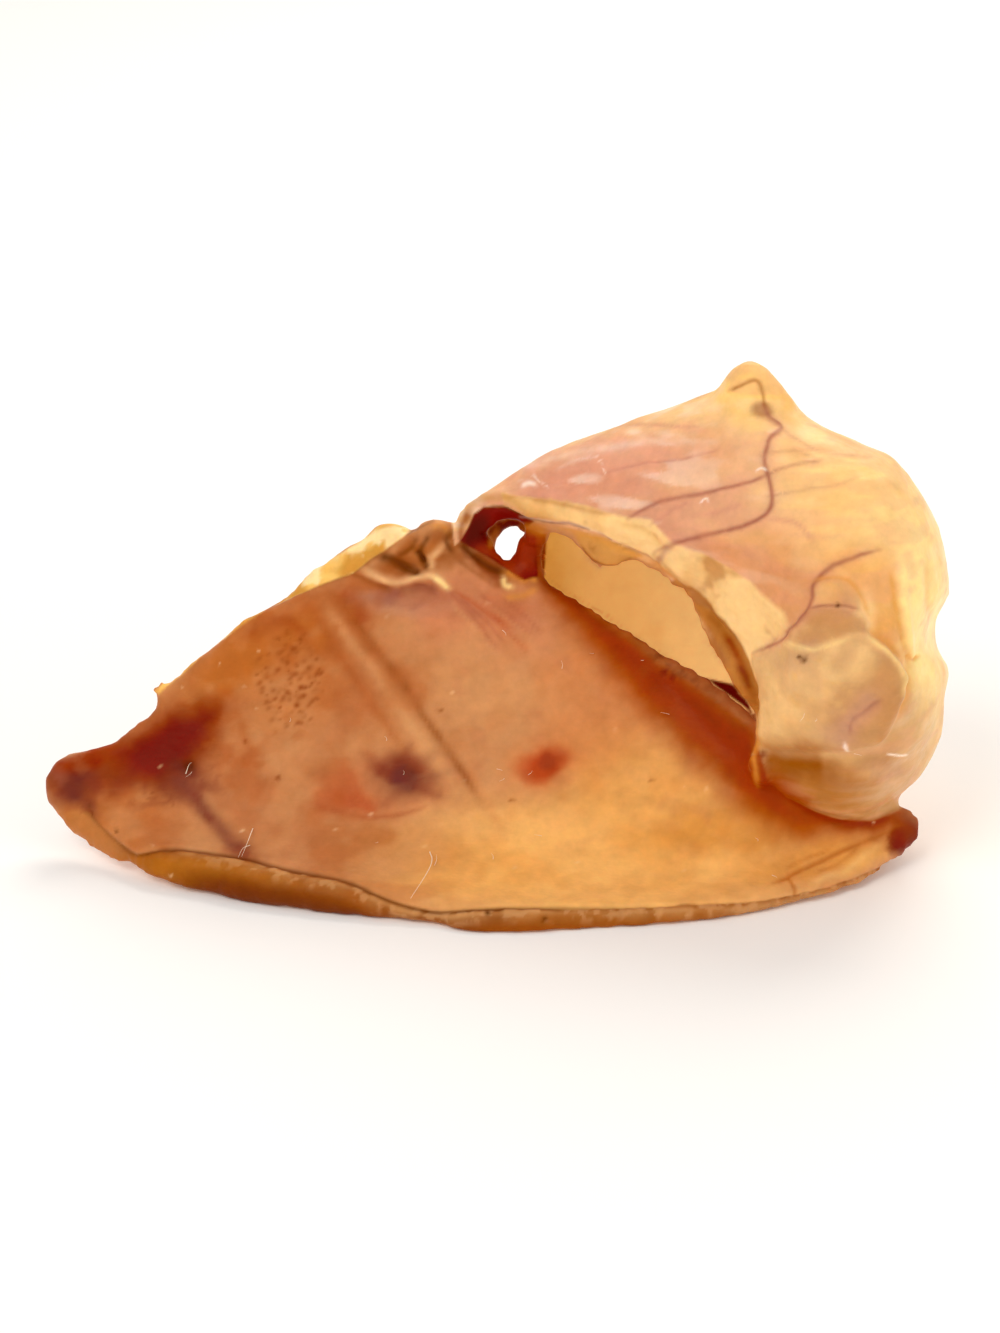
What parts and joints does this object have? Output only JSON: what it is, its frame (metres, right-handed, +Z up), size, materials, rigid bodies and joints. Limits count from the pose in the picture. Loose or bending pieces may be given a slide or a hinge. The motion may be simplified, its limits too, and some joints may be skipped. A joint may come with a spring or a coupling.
{
  "type": "dried pig ear",
  "caption": "Whole dried pig's ear: a cupped leaf of skin that leans back from its thick front edge, with the hollow base of the ear curled over one end of it.",
  "frame": {"origin": "centre of the bounding box at the level of the floor that the ear lies on", "axes": "+X along the ear from its tip to its hollow base, +Y from the leaf's front edge to the back, +Z up"},
  "size_m": [0.172, 0.0756, 0.0935],
  "materials": {
    "skin": "dried skin, cartilage and fat: waxy and slightly translucent, amber to red brown, with a cream rim"
  },
  "bodies": {
    "root": {"pig_ear": "skin"}
  },
  "joints": []
}
